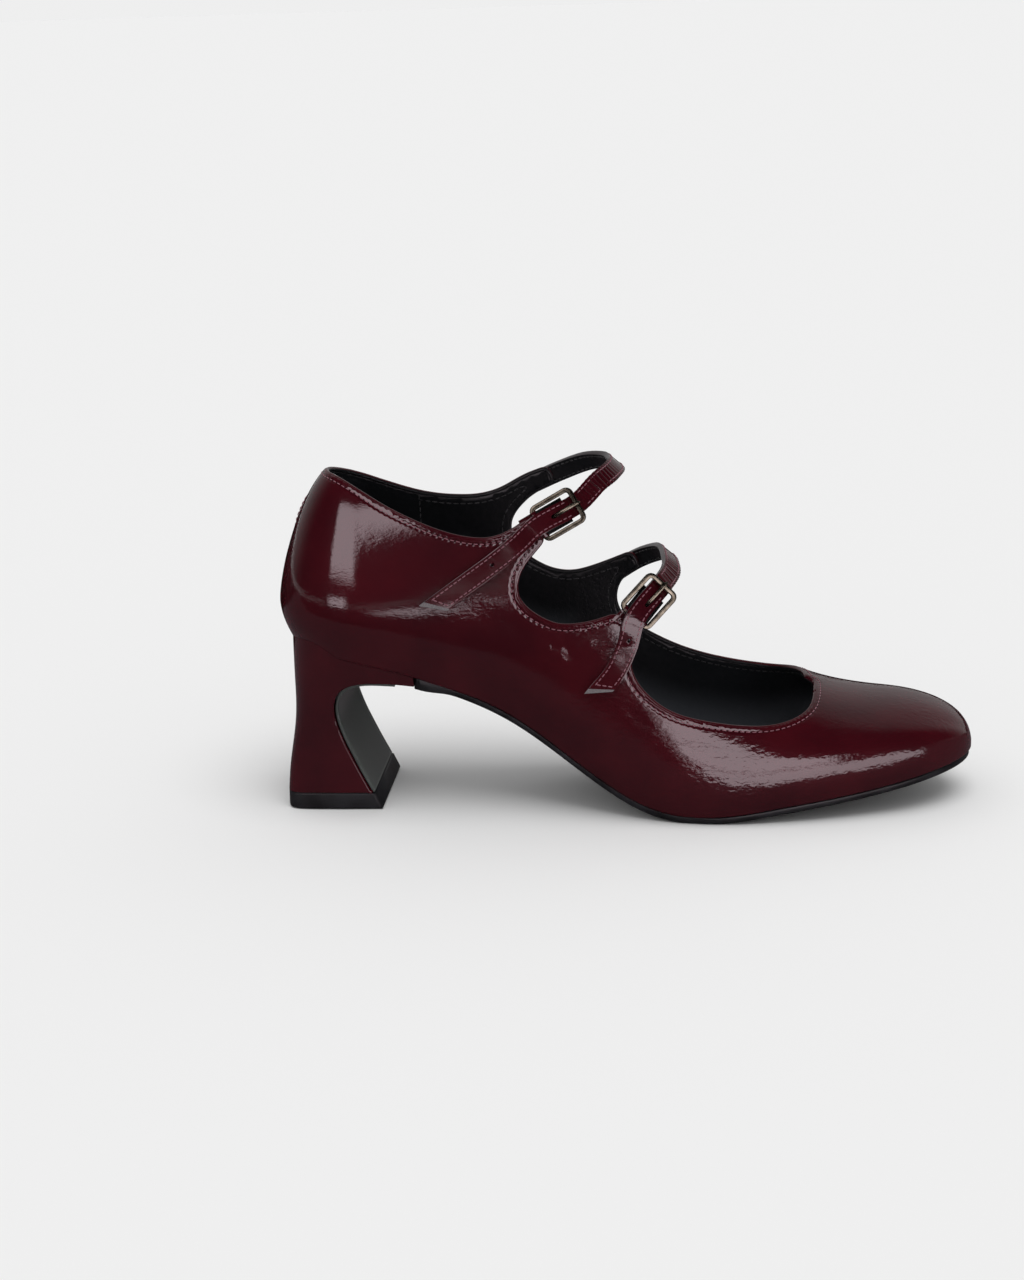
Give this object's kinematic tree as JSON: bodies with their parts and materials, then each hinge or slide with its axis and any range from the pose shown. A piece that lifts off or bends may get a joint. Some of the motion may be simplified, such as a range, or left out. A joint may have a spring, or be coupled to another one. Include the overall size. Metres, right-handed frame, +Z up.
{
  "type": "mary jane pump",
  "caption": "Right mary jane pump in patent leather with a rounded toe, buckled instep straps and a flared block heel.",
  "frame": {"origin": "centre of the heel's ground face", "axes": "+X along the shoe to the toe, +Y to the inner (medial) side of the foot, +Z up"},
  "size_m": [0.2489, 0.0785, 0.1247],
  "materials": {
    "patent_leather": "glossy deep burgundy crinkle patent",
    "insole_leather": "black satin",
    "sole_rubber": "black satin with a paler edge line",
    "panel_plastic": "dark grey satin",
    "top_piece_rubber": "matt black",
    "gunmetal": "polished antique gunmetal"
  },
  "bodies": {
    "root": {"upper": "patent_leather", "insole": "insole_leather", "outsole": "sole_rubber", "heel": "patent_leather", "heel_breast_panel": "panel_plastic", "heel_top_piece": "top_piece_rubber", "strap_upper": "patent_leather", "buckle_upper": "gunmetal", "prong_upper": "gunmetal", "strap_lower": "patent_leather", "buckle_lower": "gunmetal", "prong_lower": "gunmetal"}
  },
  "joints": []
}
